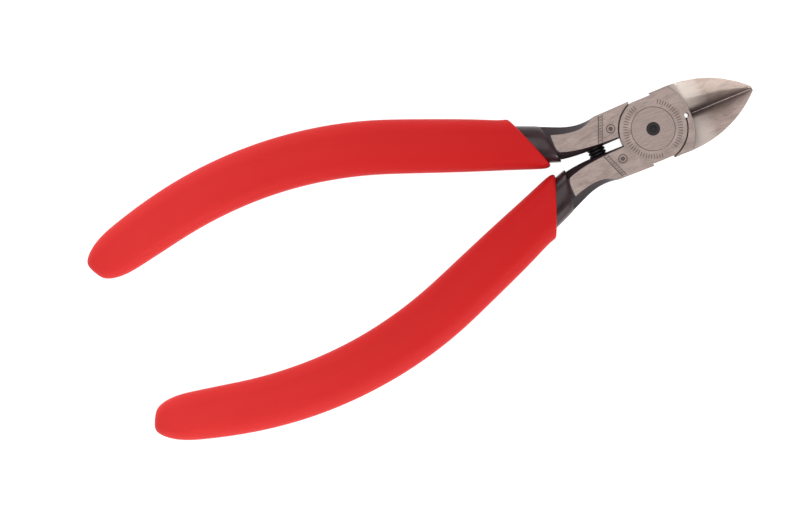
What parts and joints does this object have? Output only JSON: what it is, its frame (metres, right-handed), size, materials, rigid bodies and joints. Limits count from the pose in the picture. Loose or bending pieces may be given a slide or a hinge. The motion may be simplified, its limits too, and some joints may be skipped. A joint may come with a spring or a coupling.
{
  "type": "flush cutter",
  "caption": "Small flush cutter: two lap-jointed levers with bevelled cutting jaws, a coil return spring and long bowed cushion grips.",
  "frame": {"origin": "where the pivot axis meets the flat back face of the head", "axes": "+X runs to the jaw tips, +Y to the side of the rear lever's handle, +Z out of the bevelled front face along the pivot axis"},
  "size_m": [0.1274, 0.0512, 0.009],
  "materials": {
    "lever_steel": "satin-ground flats, dark forged sides",
    "pivot_steel": "satin ground flush with the levers",
    "black_steel": "black oxide",
    "spring_steel": "black oxide spring wire",
    "inner_grip": "soft black dipped vinyl",
    "outer_grip": "red dipped vinyl, satin"
  },
  "bodies": {
    "rear": {"rear_lever": "lever_steel", "rear_inner_grip": "inner_grip", "rear_outer_grip": "outer_grip", "pivot_barrel": "pivot_steel", "back_screw": "pivot_steel", "lock_screw": "black_steel", "return_spring": "spring_steel"},
    "front": {"front_lever": "lever_steel", "front_inner_grip": "inner_grip", "front_outer_grip": "outer_grip"}
  },
  "joints": [
    {"name": "pivot", "type": "hinge", "parent": "rear", "child": "front", "pos_m": [0, 0, 0.003], "axis": [0, 0, 1], "range_deg": [0, 24], "stiffness_Nm_per_rad": 0.6, "springref_deg": 24.01, "deforming": ["return_spring"]}
  ]
}
